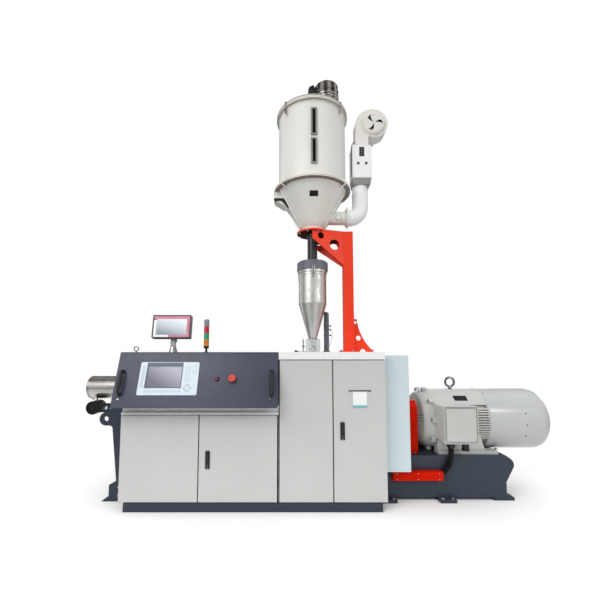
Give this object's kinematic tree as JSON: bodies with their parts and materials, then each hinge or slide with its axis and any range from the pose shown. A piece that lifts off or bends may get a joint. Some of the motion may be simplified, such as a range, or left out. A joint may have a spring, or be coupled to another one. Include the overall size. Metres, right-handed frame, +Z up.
{
  "type": "plastic extruder",
  "caption": "Single-screw plastic extruder on a steel base: covered barrel, sloped console, cabinets with doors, finned motor, and a hopper dryer on an arm over the feed throat.",
  "frame": {"origin": "on the floor under the middle of the machine's box", "axes": "+X along the screw from the melt outlet towards the motor, -Y towards the operator, +Z up"},
  "size_m": [5.007, 1.3602, 4.72],
  "materials": {
    "dark_steel_paint": "satin slate powder coat",
    "cabinet_paint": "light grey powder coat",
    "band_paint": "near white powder coat",
    "console_paint": "blue-grey powder coat",
    "drive_cover_paint": "pale blue enamel",
    "signal_red_paint": "red enamel",
    "orange_red_paint": "orange-red powder coat",
    "motor_paint": "grey-green enamel on cast iron",
    "gearbox_paint": "painted casting",
    "stainless_cover": "brushed stainless sheet",
    "barrel_steel": "turned steel",
    "black_plastic": "moulded",
    "black_enamel": "black enamel",
    "pin_steel": "turned steel",
    "panel_foil": "membrane foil on a plate",
    "button_plastic": "moulded",
    "monitor_shell": "moulded",
    "post_metal": "satin",
    "stack_light_plastic": "tinted lenses",
    "clear_plastic": "moulded, near clear",
    "grey_plastic": "moulded",
    "hose_rubber": "corrugated",
    "dryer_paint": "cream powder coat",
    "sight_glass": "dark sight glass in a grey frame",
    "white_cladding": "white sheet cladding"
  },
  "bodies": {
    "machine": {"plinth": "dark_steel_paint", "base_frame": "dark_steel_paint", "stand_plates": "dark_steel_paint", "motor_pedestal": "dark_steel_paint", "cable_duct": "signal_red_paint", "motor_conduit": "black_plastic", "cabinet_side_walls": "cabinet_paint", "cabinet_back_panels": "cabinet_paint", "cabinet_tops": "band_paint", "cabinet_front_bands": "band_paint", "door_pivot_pins": "pin_steel", "barrel": "barrel_steel", "feed_housing": "gearbox_paint", "barrel_cover": "stainless_cover", "barrel_fan": "black_enamel", "fan_bracket": "dark_steel_paint", "gearbox": "gearbox_paint", "drive_cover": "drive_cover_paint", "coupling_guard": "signal_red_paint", "motor_body": "motor_paint", "motor_shroud": "motor_paint", "motor_terminal_box": "motor_paint", "lifting_eyes": "pin_steel", "console_front": "console_paint", "console_end_plates": "console_paint", "console_top": "console_paint", "console_back": "console_paint", "operator_panel": "panel_foil", "panel_buttons": "button_plastic", "console_handles": "black_plastic", "monitor_post": "post_metal", "stack_light": "stack_light_plastic", "feeder_base": "clear_plastic", "feeder_hopper": "stainless_cover", "feeder_lid": "grey_plastic", "feeder_side_tube": "black_enamel", "feeder_hose": "hose_rubber", "hopper_support": "orange_red_paint", "dryer_cone": "dryer_paint", "dryer_body": "dryer_paint", "dryer_lid": "dryer_paint", "clean_out_port": "dryer_paint", "loader_cap": "black_plastic", "hot_air_inlet": "dryer_paint", "sight_glasses": "sight_glass", "vacuum_loader": "stainless_cover", "hot_air_pipe": "white_cladding", "heater_box": "white_cladding", "blower": "dryer_paint", "blower_inlet": "black_enamel"},
    "low_left_door": {"low_door_left": "cabinet_paint"},
    "low_right_door": {"low_door_right": "cabinet_paint", "low_door_handle": "black_plastic"},
    "tall_left_door": {"tall_door_left": "cabinet_paint"},
    "tall_right_door": {"tall_door_right": "cabinet_paint", "tall_door_handle": "black_plastic"},
    "monitor_swivel_head": {"monitor_yoke": "black_plastic"},
    "monitor_screen": {"monitor": "monitor_shell"}
  },
  "joints": [
    {"name": "low_left_door_hinge", "type": "hinge", "parent": "machine", "child": "low_left_door", "pos_m": [-1.8505, -0.50887, 0.5], "axis": [0, 0, -1], "range_deg": [0, 110]},
    {"name": "low_right_door_hinge", "type": "hinge", "parent": "machine", "child": "low_right_door", "pos_m": [-0.3765, -0.50887, 0.5], "axis": [0, 0, 1], "range_deg": [0, 90]},
    {"name": "tall_left_door_hinge", "type": "hinge", "parent": "machine", "child": "tall_left_door", "pos_m": [-0.3305, -0.50887, 0.76], "axis": [0, 0, -1], "range_deg": [0, 90]},
    {"name": "tall_right_door_hinge", "type": "hinge", "parent": "machine", "child": "tall_right_door", "pos_m": [0.6685, -0.50887, 0.76], "axis": [0, 0, 1], "range_deg": [0, 110]},
    {"name": "monitor_swivel", "type": "hinge", "parent": "machine", "child": "monitor_swivel_head", "pos_m": [-1.4335, -0.36987, 1.6], "axis": [0, 0, 1], "range_deg": [-60, 60]},
    {"name": "monitor_tilt", "type": "hinge", "parent": "monitor_swivel_head", "child": "monitor_screen", "pos_m": [-1.4335, -0.34787, 1.7103], "axis": [-1, 0, 0], "range_deg": [-8, 12]}
  ]
}
